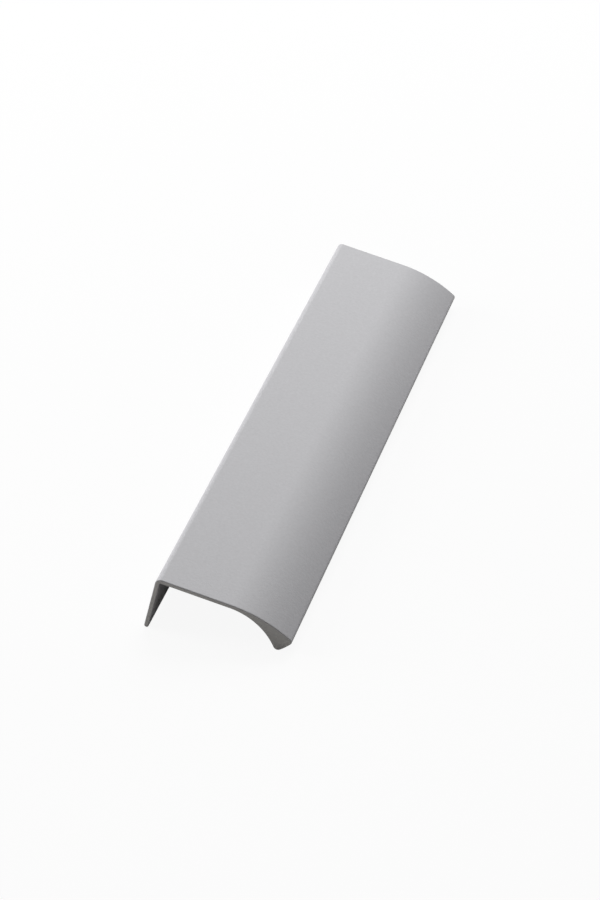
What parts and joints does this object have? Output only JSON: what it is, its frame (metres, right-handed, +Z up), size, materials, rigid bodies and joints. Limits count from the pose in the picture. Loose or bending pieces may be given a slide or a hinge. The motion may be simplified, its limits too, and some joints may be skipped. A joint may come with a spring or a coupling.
{
  "type": "edge pull",
  "caption": "Matte aluminium edge pull for a drawer or cupboard front: a plate with a screw flange behind and a curved finger lip in front.",
  "frame": {"origin": "on the floor, below the middle of the standing pull's box", "axes": "+X from the flange towards the lip, +Y along the length, +Z up; the pull stands on the foot of its flange and the tip of its lip, so its plate slopes 11.8 degrees down towards the lip"},
  "size_m": [0.0414, 0.2, 0.016],
  "materials": {
    "matte_aluminium": "fine-blasted and clear anodised, matte light grey"
  },
  "bodies": {
    "root": {"edge_pull": "matte_aluminium"}
  },
  "joints": []
}
